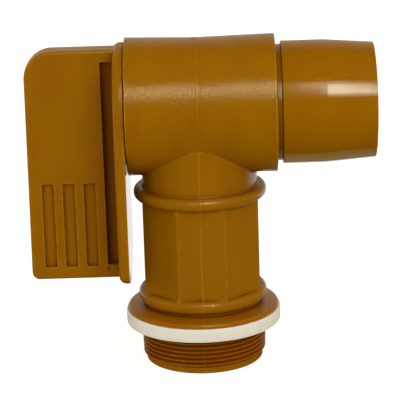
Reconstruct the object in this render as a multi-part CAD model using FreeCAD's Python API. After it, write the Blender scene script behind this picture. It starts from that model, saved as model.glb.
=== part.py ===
import FreeCAD, Part
import math
import os

# Drum faucet of the rotary plug kind: a moulded T body that screws into a drum's 2 inch bung,
# a hollow plug that turns in its cross barrel, a flat handle on the plug's closed end and a
# spout on its open end. A quarter turn of the handle carries the plug's side port on and off
# the inlet. Millimetres. The origin is the centre of the bung gasket's underside, +Z runs up
# the neck away from the drum, and +X runs along the barrel to the spout.

# Clearances
RUN_GAP = 0.05            # radial, plug in barrel, and seals on what they wipe
SEAT_GAP = 0.1            # radial, between pieces that are pushed together
END_PLAY = 0.15           # axial, each side of the barrel's right lip
HANDLE_GAP = 0.45         # axial, handle plate to barrel end

# Pipe thread and pilot, 2 inch NPT
THREAD_OD = 60.3
THREAD_PITCH = 25.4 / 11.5
THREAD_TAPER = 1 / 32     # radius lost for each millimetre toward the drum
THREAD_DEPTH = 1.6
THREAD_CREST = 0.3        # width of the flat crest
THREAD_LENGTH = 15.9      # below the gasket's underside
PILOT_LENGTH = 3.0
PILOT_PROUD = 0.2         # beyond the last thread's root
PILOT_ROUND = 0.8

# Gasket and flange
GASKET_THICK = 6.4
GASKET_PROUD = 1.0        # beyond the flange's rim
GASKET_BORE_GAP = 0.25
GASKET_ROUND = 0.3
FLANGE_WIDTH = 6.35       # beyond the thread's crest
FLANGE_RIM = 2.0
FLANGE_CONE = 1.7         # rise from the rim to the recess under the lower ring
FLANGE_ROUND = 1.6

# Wrench octagon and its two rings
WRENCH_FLATS = 55.0
WRENCH_LENGTH = 44.6
WRENCH_EDGE_ROUND = 0.8
LOWER_RING_PROUD = 1.2    # beyond the octagon's corners
LOWER_RING_LIFT = 1.0     # recess between the flange's top and the lower ring
LOWER_RING_HEIGHT = 6.3
UPPER_RING_PROUD = 2.0
UPPER_RING_HEIGHT = 6.0
RING_ROUND = 2.7

# Neck and cross barrel
NECK_RISE = 38.5          # upper ring's top to the barrel's axis
NECK_WALL = 4.0
BARREL_LEFT = 33.6        # neck axis to the handle end
BARREL_RIGHT = 37.2       # neck axis to the spout end
BARREL_WALL = 4.3         # at the parting plane
BARREL_DRAFT = 0.85       # radius gained from the parting plane to each end
BARREL_EDGE_ROUND = 0.5
LIP_WALL = 5.0            # wall that closes the barrel's right end round the plug's neck

# Inlet port and its saddle seal
PORT_R = 16.0
PORT_LAND = 7.35          # wall between the neck's bore and the barrel's bore
SEAL_WIDTH = 3.9
SEAL_SINK = 4.85          # seal's foot below the barrel's bore

# Hollow plug
PLUG_R = 27.6
PLUG_INSET = 0.6          # plug's closed end inside the barrel's end
PLUG_WALL = 4.6
PLUG_WEB = 4.0            # wall that closes the plug's handle end
PLUG_SHOULDER = 6.4       # wall at the plug's open end, inside the barrel's lip
SOCKET_DEPTH = 11.0
SOCKET_WALL = 7.0         # round the socket that takes the handle's hub
PLUG_NECK_STEP = 3.2      # neck's radius inside the plug's
PLUG_NECK_WALL = 4.2
PLUG_NECK_OUT = 18.5      # how far the plug's neck reaches into the spout

# O-rings, drawn at their squeezed size
RING_SECTION = 2.8
RING_GROOVE = 3.2
RING_SINK = 2.2
O_RING_ROUND = 1.0
HANDLE_RING_INSET = 5.2   # groove's centre from the plug's closed end
OUTLET_RING_INSET = 3.2   # groove's centre from the plug's shoulder
SPOUT_RING_SECTION = 2.0
SPOUT_RING_GROOVE = 2.4
SPOUT_RING_SINK = 1.7
SPOUT_RING_ROUND = 0.8
SPOUT_RING_INSET = 6.0    # groove's centre from the spout's inner end

# Thrust washer and spout
WASHER_THICK = 2.45
WASHER_ROUND = 0.3
SPOUT_STEP = 1.5          # spout's radius beyond the plug's
SPOUT_STRAIGHT = 20.6
SPOUT_LENGTH = 43.9
SPOUT_TAPER = 1.8         # radius lost from the straight part to the tip
SPOUT_TIP_WALL = 3.6
SPOUT_EDGE_ROUND = 0.5
SNAP_HEIGHT = 0.6
SNAP_WIDTH = 1.6
SPOUT_SNAP_INSET = 4.2    # bead's centre from the plug neck's tip

# Handle: round-topped plate with a blade standing on it
PLATE_THICK = 5.0
PLATE_INSET = 2.1         # plate's radius inside the barrel's end radius
PLATE_DROP = 83.8         # plate's foot, an arc about the barrel's axis
PLATE_CORNER = 4.0
PLATE_EDGE_ROUND = 3.4
BLADE_THICK = 12.0
BLADE_TOP = 28.9          # above the barrel's axis
BLADE_FOOT = 83.2         # below the barrel's axis
BLADE_REACH_TOP = 42.2    # from the plate's outer face
BLADE_REACH_FOOT = 43.0
BLADE_CORNER_TOP = 13.5
BLADE_CORNER_FOOT = 3.8
BLADE_EDGE_ROUND = 1.5
BLADE_ROOT = 3.0          # how far the blade runs into the plate
BLADE_WEB = 2.4           # wall left between the two pockets beside the plate
POCKET_WIDTH = 6.05
POCKET_TOP = 23.0
POCKET_FOOT = 76.4
GRIP_COUNT = 3
GRIP_WIDTH = 5.5
GRIP_PITCH = 10.0
GRIP_TOP = 35.7           # below the barrel's axis
GRIP_FOOT = 77.0
GRIP_DEPTH = 1.8
GRIP_ROUND = 0.7
GRIP_START = 10.6         # plate's outer face to the nearest grip slot
HUB_WALL = 4.0
HUB_END_GAP = 0.3         # hub's end to the plug's web
KEY_COUNT = 4
KEY_WIDTH = 6.0
KEY_HEIGHT = 2.3
KEY_END_GAP = 2.0         # keys stop short of the hub's end
HUB_SNAP_INSET = 1.6      # bead's centre from the hub's end

# Quarter-turn stop: a lug on the plate in an arc notch of the barrel's end
TURN = 90.0
STOP_START = 45.0         # lug's place at rest, from +Y toward +Z
STOP_HALF = 5.0
STOP_SLACK = 1.2          # degrees left at each end of the travel
STOP_LUG_LENGTH = 1.75
STOP_LUG_WIDTH = 2.0
STOP_NOTCH_DEPTH = 1.9
STOP_NOTCH_WIDTH = 2.6
STOP_SIDE_GAP = 0.35

# Sizes that follow
V = FreeCAD.Vector
X_AXIS = V(1, 0, 0)
Z_AXIS = V(0, 0, 1)
OVER = 1.0                # overshoot of cutting tools, and overlap of pieces that are joined

thread_r = THREAD_OD / 2
pilot_r = thread_r - THREAD_LENGTH * THREAD_TAPER - THREAD_DEPTH + PILOT_PROUD
flange_r = thread_r + FLANGE_WIDTH
gasket_r = flange_r + GASKET_PROUD
neck_r = WRENCH_FLATS / 2
neck_bore_r = neck_r - NECK_WALL
octagon_corner_r = neck_r / math.cos(math.pi / 8)
lower_ring_r = octagon_corner_r + LOWER_RING_PROUD
recess_r = lower_ring_r - RING_ROUND
upper_ring_r = octagon_corner_r + UPPER_RING_PROUD

flange_base = GASKET_THICK
flange_top = flange_base + FLANGE_RIM + FLANGE_CONE
lower_ring_base = flange_top + LOWER_RING_LIFT
wrench_base = lower_ring_base + LOWER_RING_HEIGHT
wrench_top = wrench_base + WRENCH_LENGTH
upper_ring_top = wrench_top + UPPER_RING_HEIGHT
axis_z = upper_ring_top + NECK_RISE
foot_z = -THREAD_LENGTH - PILOT_LENGTH

bore_r = PLUG_R + RUN_GAP
key_socket_r = PLUG_R - SOCKET_WALL
plug_neck_r = PLUG_R - PLUG_NECK_STEP
barrel_mid_r = bore_r + BARREL_WALL
barrel_end_r = barrel_mid_r + BARREL_DRAFT
lip_x = BARREL_RIGHT - LIP_WALL
lip_bore_r = plug_neck_r + RUN_GAP
roof_z = axis_z - bore_r - PORT_LAND
seal_foot_z = axis_z - bore_r - SEAL_SINK
seal_r = PORT_R + SEAL_WIDTH

plug_left = -BARREL_LEFT + PLUG_INSET
socket_end = plug_left + SOCKET_DEPTH
chamber_left = socket_end + PLUG_WEB
plug_right = lip_x - END_PLAY
chamber_right = plug_right - PLUG_SHOULDER
chamber_r = PLUG_R - PLUG_WALL
plug_bore_r = plug_neck_r - PLUG_NECK_WALL
washer_left = BARREL_RIGHT + END_PLAY
spout_left = washer_left + WASHER_THICK
neck_tip = spout_left + PLUG_NECK_OUT
socket_r = plug_neck_r + SEAT_GAP / 2
spout_r = PLUG_R + SPOUT_STEP
spout_right = spout_left + SPOUT_LENGTH
spout_tip_r = spout_r - SPOUT_TAPER
spout_bore_r = spout_tip_r - SPOUT_TIP_WALL
handle_ring_x = plug_left + HANDLE_RING_INSET
outlet_ring_x = plug_right - OUTLET_RING_INSET
spout_ring_x = spout_left + SPOUT_RING_INSET
spout_snap_x = neck_tip - SPOUT_SNAP_INSET

plate_r = barrel_end_r - PLATE_INSET
plate_in = -BARREL_LEFT - HANDLE_GAP
plate_out = plate_in - PLATE_THICK
hub_r = key_socket_r - SEAT_GAP
hub_end = socket_end - HUB_END_GAP
hub_snap_x = hub_end - HUB_SNAP_INSET


def on_xz(a, b):
    """Point of a profile drawn as (radius or x, height), in the plane y = 0."""
    return V(a, 0, b)


def on_barrel(a, b):
    """Point of a profile drawn as (x, radius from the barrel's axis)."""
    return V(a, 0, axis_z + b)


def outline(corners, place):
    """Face from corners (a, b, radius): straight sides, with each corner rounded to its radius."""
    count = len(corners)
    ends = []
    edges = []
    for i in range(count):
        here = place(corners[i][0], corners[i][1])
        radius = corners[i][2]
        if radius <= 0:
            ends.append((here, here))
            continue
        back = (place(*corners[i - 1][:2]) - here).normalize()
        ahead = (place(*corners[(i + 1) % count][:2]) - here).normalize()
        half = back.getAngle(ahead) / 2
        reach = radius / math.tan(half)
        middle = (back + ahead).normalize() * (radius / math.sin(half) - radius)
        start = here + back * reach
        stop = here + ahead * reach
        edges.append(Part.Arc(start, here + middle, stop).toShape())
        ends.append((start, stop))
    for i in range(count):
        start = ends[i][1]
        stop = ends[(i + 1) % count][0]
        if start.distanceToPoint(stop) > 1e-6:
            edges.append(Part.makeLine(start, stop))
    return Part.Face(Part.Wire(Part.__sortEdges__(edges)))


def turned_on_neck(corners):
    """Solid of revolution about the neck's axis, from corners (radius, z, rounding)."""
    return outline(corners, on_xz).revolve(V(0, 0, 0), Z_AXIS, 360)


def turned_on_barrel(corners):
    """Solid of revolution about the barrel's axis, from corners (x, radius, rounding)."""
    return outline(corners, on_barrel).revolve(V(0, 0, axis_z), X_AXIS, 360)


def rod(radius, start, stop):
    """Cylinder on the barrel's axis from x = start to x = stop."""
    return Part.makeCylinder(radius, stop - start, V(start, 0, axis_z), X_AXIS)


def post(radius, start, stop):
    """Cylinder on the neck's axis from z = start to z = stop."""
    return Part.makeCylinder(radius, stop - start, V(0, 0, start), Z_AXIS)


def barrel_ring(inner, outer, middle, width, rounding):
    """Ring on the barrel's axis with rounded edges, centred on x = middle."""
    left = middle - width / 2
    right = middle + width / 2
    return turned_on_barrel([(left, inner, rounding), (right, inner, rounding),
                             (right, outer, rounding), (left, outer, rounding)])


def block(x0, x1, y0, y1, z0, z1):
    """Box between two corners, with heights measured from the barrel's axis."""
    return Part.makeBox(x1 - x0, y1 - y0, z1 - z0, V(x0, y0, axis_z + z0))


def rounded_block(x0, x1, y0, y1, z0, z1, radius):
    """Box whose four edges along y are rounded."""
    box = block(x0, x1, y0, y1, z0, z1)
    upright = [e for e in box.Edges if abs(e.Vertexes[0].Y - e.Vertexes[1].Y) > 1e-6]
    return box.makeFillet(radius, upright)


def arc_sector(inner, outer, start, stop, x0, x1):
    """Part of a ring on the barrel's axis between two angles, from +Y toward +Z."""
    corners = [V(x0, inner, axis_z), V(x1, inner, axis_z), V(x1, outer, axis_z), V(x0, outer, axis_z)]
    face = Part.Face(Part.makePolygon(corners + corners[:1]))
    face.rotate(V(0, 0, axis_z), X_AXIS, start)
    return face.revolve(V(0, 0, axis_z), X_AXIS, stop - start)


def export(shape, node):
    """Write one node's STEP file and print what it holds."""
    shape = shape.removeSplitter()
    solids = shape.Solids
    shape = solids[0] if len(solids) == 1 else Part.makeCompound(solids)
    shape.exportStep("parts/" + node + ".step")
    print(node, "solids", len(solids), "valid", shape.isValid(), "cm3", round(shape.Volume / 1000, 2))


def thread_tool():
    """Helical V groove that cuts the tapered thread, from the pilot up to the flange."""
    half = (THREAD_PITCH - THREAD_CREST) / 2
    rise = flange_base + THREAD_LENGTH + THREAD_PITCH / 2
    start_z = -THREAD_LENGTH - THREAD_PITCH / 2
    start_r = thread_r + start_z * THREAD_TAPER
    path = Part.makeHelix(THREAD_PITCH, rise, start_r, math.degrees(math.atan(THREAD_TAPER)))
    path.translate(V(0, 0, start_z))
    root = start_r - THREAD_DEPTH
    mouth = start_r + THREAD_DEPTH / 3
    spread = half * (mouth - root) / THREAD_DEPTH
    section = Part.makePolygon([V(mouth, 0, start_z - spread), V(root, 0, start_z),
                                V(mouth, 0, start_z + spread), V(mouth, 0, start_z - spread)])
    return Part.Wire(path.Edges).makePipeShell([section], True, True)


def thread_and_pilot():
    """Tapered pipe thread with the plain pilot below it."""
    low = -THREAD_LENGTH
    cone = Part.makeCone(thread_r + low * THREAD_TAPER, thread_r + flange_base * THREAD_TAPER,
                         flange_base - low, V(0, 0, low), Z_AXIS)
    pilot = turned_on_neck([(0, foot_z, 0), (pilot_r, foot_z, PILOT_ROUND), (pilot_r, flange_base, 0),
                            (0, flange_base, 0)])
    return cone.cut(thread_tool()).fuse(pilot)


def flange():
    """Round flange with a sloping top, which seats on the gasket, and the recess above it."""
    rim_top = flange_base + FLANGE_RIM
    return turned_on_neck([(0, flange_base, 0), (flange_r, flange_base, 0),
                           (flange_r, rim_top, FLANGE_ROUND), (recess_r, flange_top, 0),
                           (recess_r, lower_ring_base + OVER, 0), (0, lower_ring_base + OVER, 0)])


def bead(radius, base, height):
    """Round-edged ring on the neck, solid to the axis."""
    return turned_on_neck([(0, base, 0), (radius, base, RING_ROUND),
                           (radius, base + height, RING_ROUND), (0, base + height, 0)])


def octagon():
    """Eight-sided wrench section, flats toward X and Y, with its upright edges rounded."""
    points = [V(octagon_corner_r * math.cos(math.pi / 8 + i * math.pi / 4),
                octagon_corner_r * math.sin(math.pi / 8 + i * math.pi / 4), wrench_base)
              for i in range(8)]
    face = Part.Face(Part.makePolygon(points + points[:1]))
    prism = face.extrude(V(0, 0, WRENCH_LENGTH))
    upright = [e for e in prism.Edges if abs(e.Vertexes[0].Z - e.Vertexes[1].Z) > 1e-6]
    return prism.makeFillet(WRENCH_EDGE_ROUND, upright)


def barrel():
    """Cross barrel, drafted from both ends toward the parting plane x = 0."""
    return turned_on_barrel([(-BARREL_LEFT, 0, 0), (-BARREL_LEFT, barrel_end_r, BARREL_EDGE_ROUND),
                             (0, barrel_mid_r, 0), (BARREL_RIGHT, barrel_end_r, BARREL_EDGE_ROUND),
                             (BARREL_RIGHT, 0, 0)])


def stop_notch():
    """Arc notch in the barrel's handle end, open to the bore, that limits the turn."""
    side = STOP_HALF + STOP_SLACK
    return arc_sector(bore_r - OVER, bore_r + STOP_NOTCH_WIDTH, STOP_START - side,
                      STOP_START + TURN + side, -BARREL_LEFT - OVER, -BARREL_LEFT + STOP_NOTCH_DEPTH)


def valve_body():
    """One T moulding: pilot, thread, flange, wrench section, neck and barrel, with its bores."""
    neck = post(neck_r, upper_ring_top - UPPER_RING_HEIGHT / 2, axis_z)
    outside = thread_and_pilot().multiFuse([
        flange(), bead(lower_ring_r, lower_ring_base, LOWER_RING_HEIGHT), octagon(),
        bead(upper_ring_r, wrench_top, UPPER_RING_HEIGHT), neck, barrel()])
    bores = [
        post(neck_bore_r, foot_z - OVER, roof_z),
        post(PORT_R + SEAT_GAP, roof_z - OVER, axis_z),
        post(seal_r, seal_foot_z, axis_z),
        rod(bore_r, -BARREL_LEFT - OVER, lip_x),
        rod(lip_bore_r, lip_x - OVER, BARREL_RIGHT + OVER),
        stop_notch(),
    ]
    for tool in bores:
        outside = outside.cut(tool)
    return outside


def port_seal():
    """Saddle ring in the body round the inlet port, cut to the plug's curve."""
    ring = post(seal_r - SEAT_GAP, seal_foot_z, axis_z).cut(post(PORT_R, seal_foot_z - OVER, axis_z + OVER))
    return ring.cut(rod(PLUG_R + RUN_GAP, -BARREL_LEFT, BARREL_RIGHT))


def bung_gasket():
    """Flat rubber ring between the flange and the drum."""
    inner = thread_r + flange_base * THREAD_TAPER + GASKET_BORE_GAP
    return turned_on_neck([(inner, 0, 0), (gasket_r, 0, GASKET_ROUND),
                           (gasket_r, GASKET_THICK, GASKET_ROUND), (inner, GASKET_THICK, 0)])


def hub_keys(radius, start, stop, width):
    """Ribs on the handle's hub, or with more width and radius the slots that take them."""
    ribs = []
    for i in range(KEY_COUNT):
        rib = block(start, stop, -width / 2, width / 2, 0, radius)
        rib.rotate(V(0, 0, axis_z), X_AXIS, i * 360 / KEY_COUNT)
        ribs.append(rib)
    return ribs


def plug():
    """Hollow plug: keyed socket, closing web, chamber with a side port, and necked outlet."""
    body = rod(PLUG_R, plug_left, plug_right).fuse(rod(plug_neck_r, plug_right, neck_tip))
    slot_end = hub_end - KEY_END_GAP + SEAT_GAP
    cuts = [
        rod(key_socket_r, plug_left - OVER, socket_end),
        rod(chamber_r, chamber_left, chamber_right),
        rod(plug_bore_r, chamber_right - OVER, neck_tip + OVER),
        post(PORT_R, axis_z - PLUG_R - OVER, axis_z),
        barrel_ring(PLUG_R - RING_SINK, PLUG_R + OVER, handle_ring_x, RING_GROOVE, 0),
        barrel_ring(PLUG_R - RING_SINK, PLUG_R + OVER, outlet_ring_x, RING_GROOVE, 0),
        barrel_ring(plug_neck_r - SPOUT_RING_SINK, plug_neck_r + OVER, spout_ring_x, SPOUT_RING_GROOVE, 0),
        barrel_ring(plug_neck_r - SNAP_HEIGHT - SEAT_GAP, plug_neck_r + OVER, spout_snap_x,
                    SNAP_WIDTH + 2 * SEAT_GAP, 0),
        barrel_ring(key_socket_r - OVER, hub_r + SNAP_HEIGHT + SEAT_GAP, hub_snap_x,
                    SNAP_WIDTH + 2 * SEAT_GAP, 0),
    ] + hub_keys(hub_r + KEY_HEIGHT + SEAT_GAP, plug_left - OVER, slot_end, KEY_WIDTH + 2 * SEAT_GAP)
    for tool in cuts:
        body = body.cut(tool)
    return body


def spout():
    """Outlet nozzle: straight for a hose, then tapered, snapped over the plug's neck."""
    taper_x = spout_left + SPOUT_STRAIGHT
    shoulder_x = neck_tip + SEAT_GAP
    shell = turned_on_barrel([(spout_left, 0, 0), (spout_left, spout_r, SPOUT_EDGE_ROUND),
                              (taper_x, spout_r, 0), (spout_right, spout_tip_r, SPOUT_EDGE_ROUND),
                              (spout_right, 0, 0)])
    hollow = shell.cut(rod(socket_r, spout_left - OVER, shoulder_x))
    hollow = hollow.cut(rod(spout_bore_r, shoulder_x - OVER, spout_right + OVER))
    return hollow.fuse(barrel_ring(plug_neck_r - SNAP_HEIGHT, socket_r + OVER, spout_snap_x, SNAP_WIDTH, 0))


def thrust_washer():
    """Ring between the barrel's lip and the spout, which holds the plug's shoulder to the lip."""
    return barrel_ring(plug_neck_r + SEAT_GAP / 2, PLUG_R, washer_left + WASHER_THICK / 2,
                       WASHER_THICK, WASHER_ROUND)


def plate():
    """Handle plate: round top, straight sides, foot on an arc about the barrel's axis."""
    face = outline([(-plate_r, -PLATE_DROP - OVER, 0), (plate_r, -PLATE_DROP - OVER, 0),
                    (plate_r, 0, 0), (-plate_r, 0, 0)], lambda a, b: V(plate_out, a, axis_z + b))
    slab = face.extrude(V(PLATE_THICK, 0, 0)).fuse(rod(plate_r, plate_out, plate_in)).removeSplitter()
    slab = slab.common(rod(PLATE_DROP, plate_out, plate_in))
    corners = [e for e in slab.Edges if abs(e.Vertexes[0].X - e.Vertexes[-1].X) > PLATE_THICK / 2
               and e.Vertexes[0].Z < axis_z - PLATE_DROP / 2]
    slab = slab.makeFillet(PLATE_CORNER, corners)
    rim = [e for e in slab.Edges if abs(e.BoundBox.XMax - plate_out) < 1e-6]
    return slab.makeFillet(PLATE_EDGE_ROUND, rim)


def blade():
    """Flat grip that stands out from the plate, with all its outer edges rounded."""
    root_x = plate_out + BLADE_ROOT
    face = outline([(root_x, -BLADE_FOOT, 0),
                    (plate_out - BLADE_REACH_FOOT, -BLADE_FOOT, BLADE_CORNER_FOOT),
                    (plate_out - BLADE_REACH_TOP, BLADE_TOP, BLADE_CORNER_TOP), (root_x, BLADE_TOP, 0)],
                   on_barrel)
    solid = face.extrude(V(0, BLADE_THICK, 0))
    solid.translate(V(0, -BLADE_THICK / 2, 0))
    rim = [e for e in solid.Edges if e.BoundBox.YLength < 1e-6 and e.BoundBox.XMin < root_x - 1e-3]
    return solid.makeFillet(BLADE_EDGE_ROUND, rim)


def blade_recesses():
    """Pockets beside the plate and grip slots, the same on the blade's two faces."""
    tools = []
    for side in (-1, 1):
        face_y = side * BLADE_THICK / 2
        over_y = side * (BLADE_THICK / 2 + OVER)
        web_y = side * BLADE_WEB / 2
        grip_y = face_y - side * GRIP_DEPTH
        tools.append(block(plate_out - POCKET_WIDTH, plate_out, min(web_y, over_y), max(web_y, over_y),
                           -POCKET_FOOT, POCKET_TOP))
        for i in range(GRIP_COUNT):
            right = plate_out - GRIP_START - i * GRIP_PITCH
            tools.append(rounded_block(right - GRIP_WIDTH, right, min(grip_y, over_y), max(grip_y, over_y),
                                       -GRIP_FOOT, -GRIP_TOP, GRIP_ROUND))
    return tools


def handle():
    """Lever moulding: plate, blade, keyed hub that snaps into the plug, and the stop lug."""
    lug_in = bore_r + STOP_SIDE_GAP
    lug = arc_sector(lug_in, lug_in + STOP_LUG_WIDTH, STOP_START - STOP_HALF, STOP_START + STOP_HALF,
                     plate_in - OVER, plate_in + STOP_LUG_LENGTH)
    hub_start = plate_in - OVER
    hub = rod(hub_r, hub_start, hub_end)
    ribs = hub_keys(hub_r + KEY_HEIGHT, hub_start, hub_end - KEY_END_GAP, KEY_WIDTH)
    snap = barrel_ring(hub_r - OVER, hub_r + SNAP_HEIGHT, hub_snap_x, SNAP_WIDTH, 0)
    lever = blade()
    for tool in blade_recesses():
        lever = lever.cut(tool)
    whole = plate().multiFuse([lever, hub, snap, lug] + ribs)
    return whole.cut(rod(hub_r - HUB_WALL, plate_in, hub_end + OVER))


def main():
    """Build every piece and write its STEP file."""
    os.makedirs("parts", exist_ok=True)
    export(valve_body(), "valve_body")
    export(bung_gasket(), "bung_gasket")
    export(port_seal(), "port_seal")
    export(plug(), "plug")
    export(handle(), "handle")
    export(spout(), "spout")
    export(thrust_washer(), "thrust_washer")
    groove_r = PLUG_R - RING_SINK
    export(barrel_ring(groove_r, PLUG_R, handle_ring_x, RING_SECTION, O_RING_ROUND), "handle_end_o_ring")
    export(barrel_ring(groove_r, PLUG_R, outlet_ring_x, RING_SECTION, O_RING_ROUND), "outlet_end_o_ring")
    export(barrel_ring(plug_neck_r - SPOUT_RING_SINK, socket_r, spout_ring_x, SPOUT_RING_SECTION,
                       SPOUT_RING_ROUND), "spout_o_ring")


main()
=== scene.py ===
import logging
import math
from collections.abc import Callable, Mapping, Sequence
from dataclasses import dataclass
from enum import Enum

import bmesh
import bpy
from mathutils import Matrix, Vector


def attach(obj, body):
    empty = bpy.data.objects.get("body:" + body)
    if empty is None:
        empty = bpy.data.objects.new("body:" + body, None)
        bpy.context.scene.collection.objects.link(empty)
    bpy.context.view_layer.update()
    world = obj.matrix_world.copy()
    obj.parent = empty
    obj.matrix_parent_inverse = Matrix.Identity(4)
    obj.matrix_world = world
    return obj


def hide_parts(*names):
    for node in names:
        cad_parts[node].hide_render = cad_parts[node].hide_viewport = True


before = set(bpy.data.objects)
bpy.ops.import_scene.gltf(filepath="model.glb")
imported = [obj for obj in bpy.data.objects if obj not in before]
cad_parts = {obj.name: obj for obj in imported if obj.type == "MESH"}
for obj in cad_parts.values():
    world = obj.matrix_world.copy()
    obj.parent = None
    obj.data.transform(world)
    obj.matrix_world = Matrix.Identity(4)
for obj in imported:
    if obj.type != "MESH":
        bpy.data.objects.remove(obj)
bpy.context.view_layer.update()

LOG = logging.getLogger("drum_faucet")
MM = 0.001
Pair = tuple[float, float]
Corner = tuple[float, float, float]
Place = Callable[[float, float, float], Corner]
Keep = Callable[[float, float], bool]
Swell = Callable[[float, float, float], float]
Piece = bpy.types.Object
Material = bpy.types.Material
Tree = bpy.types.NodeTree
Socket = bpy.types.NodeSocket
Value = float | tuple[float, ...] | Socket
Wires = dict[str | int, Value]
Outputs = Mapping[str | int, Socket]


class Turn(Enum):
    """The two axes that round pieces are turned about."""

    NECK = "neck"
    BARREL = "barrel"


class Join(Enum):
    """How a second solid changes a first one."""

    ADD = "UNION"
    CUT = "DIFFERENCE"


class Glow(Enum):
    """What a lamp is for: the highlights, or the even light on all surfaces."""

    SHEEN = "sheen"
    WASH = "wash"


class Seam(Enum):
    """Which coordinate is zero on the mould's parting plane."""

    NONE = -1
    ACROSS_BARREL = 0
    ALONG_BLADE = 1


@dataclass(frozen=True)
class Stack:
    """Heights along the neck and along the barrel, in millimetres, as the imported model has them."""

    foot: float = -18.9
    thread_foot: float = -15.9
    flange_foot: float = 6.4
    flange_rim: float = 8.4
    flange_top: float = 10.1
    lower_ring_foot: float = 11.1
    lower_ring_top: float = 17.4
    upper_ring_foot: float = 62.0
    upper_ring_top: float = 68.0
    axis: float = 106.5
    barrel_left: float = -33.6
    barrel_right: float = 37.2
    washer_left: float = 37.35
    spout_left: float = 39.8
    spout_taper: float = 60.4
    spout_right: float = 83.7
    plate_in: float = -34.05
    plate_out: float = -39.05


AT = Stack()


def share(value: float) -> float:
    """A value held between 0 and 1."""
    return min(max(value, 0.0), 1.0)


def polar(radius: float, angle: float) -> Pair:
    """Point at a radius and an angle."""
    return radius * math.cos(angle), radius * math.sin(angle)


def lying(a: float, b: float, depth: float) -> Corner:
    """Lay an outline flat, stacked upward."""
    return a, b, depth


def end_on(a: float, b: float, depth: float) -> Corner:
    """Stand an outline square to the barrel, stacked along its axis."""
    return depth, a, AT.axis + b


def rounded(corners: Sequence[Corner], closed: bool = False, step: float = 10.0) -> list[Pair]:
    """Turn each corner of a line into an arc.

    Args:
        corners: Points (a, b, radius); a radius of 0 keeps the corner sharp.
        closed: Whether the last point joins the first.
        step: Largest turn between two points of an arc, in degrees.

    Returns:
        The points (a, b) along the line.
    """
    points: list[Pair] = []
    count = len(corners)
    for i, (a, b, radius) in enumerate(corners):
        open_end = not closed and i in (0, count - 1)
        if radius <= 0 or open_end:
            points.append((a, b))
            continue
        here = Vector((a, b))
        back = (Vector(corners[i - 1][:2]) - here).normalized()
        ahead = (Vector(corners[(i + 1) % count][:2]) - here).normalized()
        half = back.angle(ahead) / 2
        middle = here + (back + ahead).normalized() * (radius / math.sin(half))
        start = here + back * (radius / math.tan(half)) - middle
        turn = math.pi - 2 * half
        sign = 1.0 if back.x * ahead.y - back.y * ahead.x < 0 else -1.0
        parts = max(3, math.ceil(math.degrees(turn) / step))
        for k in range(parts + 1):
            spot = middle + Matrix.Rotation(sign * turn * k / parts, 2) @ start
            points.append((spot.x, spot.y))
    return points


def mesh_object(name: str, points: Sequence[Corner], faces: Sequence[Sequence[int]]) -> Piece:
    """Make a mesh object from points in millimetres, with its normals outward.

    Args:
        name: Name of the piece.
        points: Corner positions in millimetres.
        faces: Corner numbers of each face.

    Returns:
        The new object, linked to the scene.
    """
    mesh = bpy.data.meshes.new(name)
    mesh.from_pydata([(x * MM, y * MM, z * MM) for x, y, z in points], [], faces)
    work = bmesh.new()
    work.from_mesh(mesh)
    bmesh.ops.recalc_face_normals(work, faces=work.faces)
    work.to_mesh(mesh)
    work.free()
    made = bpy.data.objects.new(name, mesh)
    bpy.context.scene.collection.objects.link(made)
    return made


def stepped(start: float, *steps: Pair) -> list[Corner]:
    """Profile of a stepped pin with sharp corners, from its axis round and back to it.

    Args:
        start: Where the pin starts.
        *steps: Radius and end of each step.

    Returns:
        The corners (radius, position along the axis, 0).
    """
    corners = [(0.0, start, 0.0)]
    for radius, end in steps:
        corners += [(radius, corners[-1][1], 0.0), (radius, end, 0.0)]
    return [*corners, (0.0, corners[-1][1], 0.0)]


def even_turn(count: int) -> list[float]:
    """Evenly spaced angles round a full turn."""
    return [2 * math.pi * i / count for i in range(count)]


def seam_turn(count: int, width: float = 0.5) -> list[float]:
    """Angles round a turn with extra ones at the front and the back, where the mould's halves meet.

    Args:
        count: How many even angles there are.
        width: Width of the seam's crest, in degrees.

    Returns:
        The sorted angles.
    """
    angles = set(even_turn(count))
    for middle in (90.0, 270.0):
        angles = {a for a in angles if abs(math.degrees(a) - middle) > 2 * width}
        angles |= {math.radians(middle + width * k) for k in (-1.6, -0.5, 0.0, 0.5, 1.6)}
    return sorted(angles)


def turned(name: str, corners: Sequence[Corner], about: Turn, ring: bool = False,
           angles: Sequence[float] | None = None, swell: Swell | None = None) -> Piece:
    """Turn a profile about the neck's axis or the barrel's axis.

    Args:
        name: Name of the piece.
        corners: The profile's corners (radius, position along the axis, rounding); they start and end
            on the axis unless the piece is a ring.
        about: The axis.
        ring: Whether the profile is a closed loop that stays off the axis.
        angles: Angles of the columns, evenly spaced if left out.
        swell: What the radius grows by, from (radius, along, angle).

    Returns:
        The new object.
    """
    angles = list(angles or even_turn(192))
    columns = len(angles)
    points: list[Corner] = []
    rows: list[list[int]] = []
    for radius, along in rounded(corners, closed=ring):
        on_axis = radius < 1e-6
        row = []
        for angle in angles[:1] if on_axis else angles:
            grown = swell(radius, along, angle) if swell and not on_axis else 0.0
            side, rise = polar(radius + grown, angle)
            row.append(len(points))
            points.append((side, rise, along) if about is Turn.NECK else (along, side, AT.axis + rise))
        rows.append(row if len(row) > 1 else row * columns)
    faces = []
    for low, high in zip(rows, rows[1:] + rows[:1] if ring else rows[1:]):
        for j in range(columns):
            k = (j + 1) % columns
            loop = [low[j], low[k], high[k], high[j]]
            faces.append([v for n, v in enumerate(loop) if v not in loop[:n]])
    return mesh_object(name, points, faces)


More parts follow.
